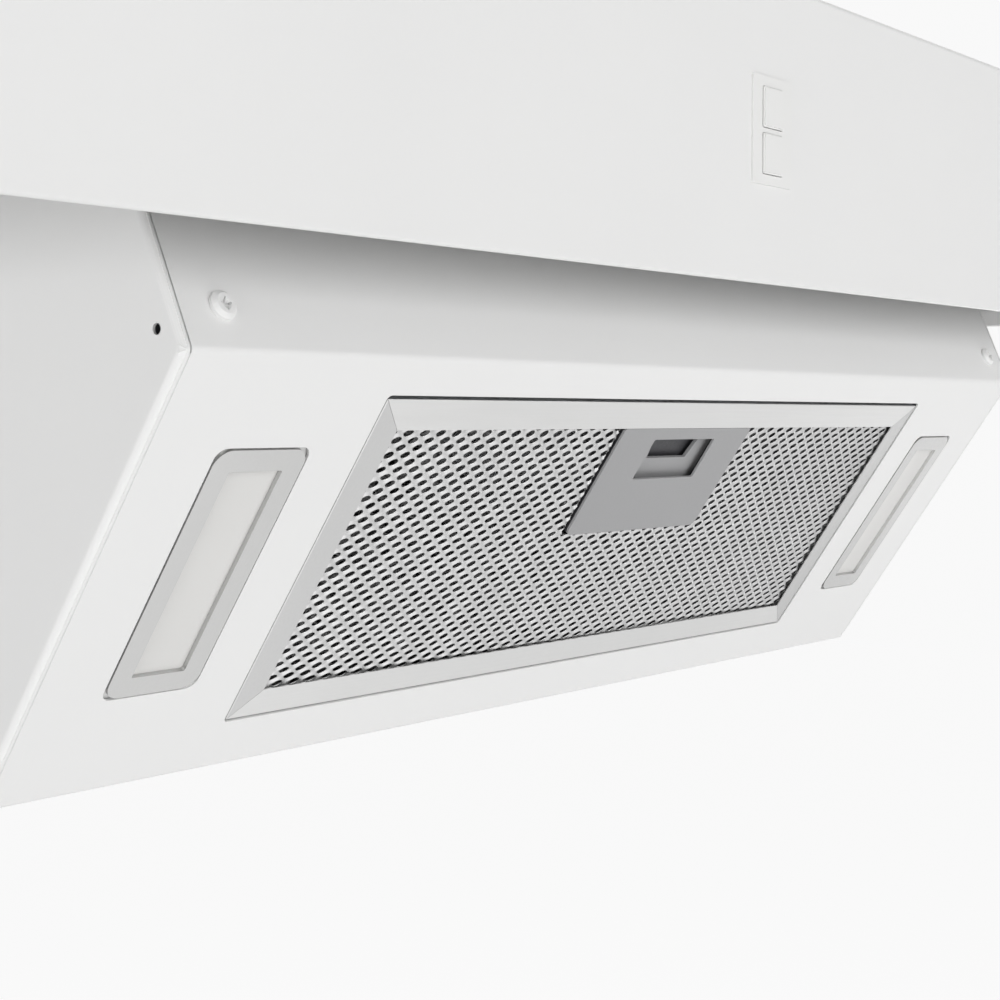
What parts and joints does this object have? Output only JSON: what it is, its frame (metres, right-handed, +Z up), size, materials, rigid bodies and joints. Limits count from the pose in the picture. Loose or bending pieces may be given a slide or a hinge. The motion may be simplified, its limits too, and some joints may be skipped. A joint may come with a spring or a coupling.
{
  "type": "under cabinet range hood",
  "caption": "Wide folded canopy with a hanging intake box: sloping mesh grease filter with a sliding catch, lights beside it, centrifugal blower and a round duct collar with flaps.",
  "frame": {"origin": "middle of the rear top edge, on the top face where wall and cabinet meet", "axes": "+X along the width to the right as seen from the front, +Y back to the wall, +Z up"},
  "size_m": [0.762, 0.3318, 0.3554],
  "materials": {
    "white_enamel": "satin white powder coat",
    "galvanised_steel": "plain galvanised sheet",
    "satin_bezel": "satin aluminium",
    "satin_aluminium": "satin aluminium channel",
    "mesh_aluminium": "bright expanded aluminium",
    "milky_lens": "milky diffuser",
    "circuit_board": "white solder mask",
    "black_rubber": "moulded rubber",
    "motor_casting": "cast aluminium",
    "bright_steel": "turned steel",
    "damper_sheet": "plain aluminium sheet",
    "white_plastic": "satin white moulding",
    "pale_plastic": "pale moulding",
    "dark_plastic": "dark moulding",
    "grey_plastic": "matte grey moulding",
    "fan_plastic": "dark glass-filled moulding"
  },
  "bodies": {
    "hood": {"canopy_top": "white_enamel", "front_fascia": "white_enamel", "canopy_end_left": "white_enamel", "canopy_end_right": "white_enamel", "front_panel": "white_enamel", "side_panel_left": "white_enamel", "side_panel_right": "white_enamel", "bottom_pan": "white_enamel", "back_panel": "white_enamel", "filter_seat": "galvanised_steel", "light_bezel_left": "satin_bezel", "light_bezel_right": "satin_bezel", "light_lens_left": "milky_lens", "light_lens_right": "milky_lens", "light_board_left": "circuit_board", "light_board_right": "circuit_board", "scroll_wrap": "galvanised_steel", "scroll_side_left": "galvanised_steel", "scroll_side_right": "galvanised_steel", "motor_bracket": "galvanised_steel", "motor_grommets": "black_rubber", "motor_housing": "motor_casting", "bracket_screws": "galvanised_steel", "blower_screws": "galvanised_steel", "duct_collar": "galvanised_steel", "damper_rod": "bright_steel", "control_bezel": "white_plastic", "switch_block": "dark_plastic", "wiring_box": "galvanised_steel", "wiring_cover": "galvanised_steel", "terminal_block": "pale_plastic", "capacitor": "pale_plastic", "capacitor_clip": "galvanised_steel", "light_driver": "pale_plastic", "face_screws": "white_enamel"},
    "filter": {"filter_rail_top": "satin_aluminium", "filter_rail_bottom": "satin_aluminium", "filter_rail_left": "satin_aluminium", "filter_rail_right": "satin_aluminium", "filter_mesh_front": "mesh_aluminium", "filter_mesh_rear": "mesh_aluminium", "filter_hinge_tabs": "galvanised_steel", "latch_plate": "grey_plastic", "latch_housing": "dark_plastic", "latch_spring": "bright_steel"},
    "catch": {"latch_slider": "grey_plastic"},
    "fan": {"impeller": "fan_plastic", "motor_shaft": "bright_steel", "shaft_nut": "bright_steel"},
    "flap_front": {"damper_flap_front": "damper_sheet"},
    "flap_rear": {"damper_flap_rear": "damper_sheet"},
    "button_fan": {"fan_button": "white_plastic"},
    "button_light": {"light_button": "white_plastic"}
  },
  "joints": [
    {"name": "filter_hinge", "type": "hinge", "parent": "hood", "child": "filter", "pos_m": [0, -0.22156, -0.28663], "axis": [1, 0, 0], "range_deg": [0, 70]},
    {"name": "catch_slide", "type": "slide", "parent": "filter", "child": "catch", "axis": [0, 0.565, -0.8251], "range_m": [0, 0.006], "stiffness_N_per_m": 300, "springref_m": -0.005, "deforming": ["latch_spring"]},
    {"name": "fan_spin", "type": "hinge", "parent": "hood", "child": "fan", "pos_m": [0, -0.128, -0.15], "axis": [1, 0, 0], "continuous": true},
    {"name": "flap_front_swing", "type": "hinge", "parent": "hood", "child": "flap_front", "pos_m": [0, -0.09225, 0.012], "axis": [-1, 0, 0], "range_deg": [0, 80]},
    {"name": "flap_rear_swing", "type": "hinge", "parent": "hood", "child": "flap_rear", "pos_m": [0, -0.09225, 0.012], "axis": [1, 0, 0], "range_deg": [0, 80]},
    {"name": "fan_button_press", "type": "slide", "parent": "hood", "child": "button_fan", "axis": [0, 1, 0], "range_m": [0, 0.0025], "stiffness_N_per_m": 400},
    {"name": "light_button_press", "type": "slide", "parent": "hood", "child": "button_light", "axis": [0, 1, 0], "range_m": [0, 0.0025], "stiffness_N_per_m": 400}
  ]
}
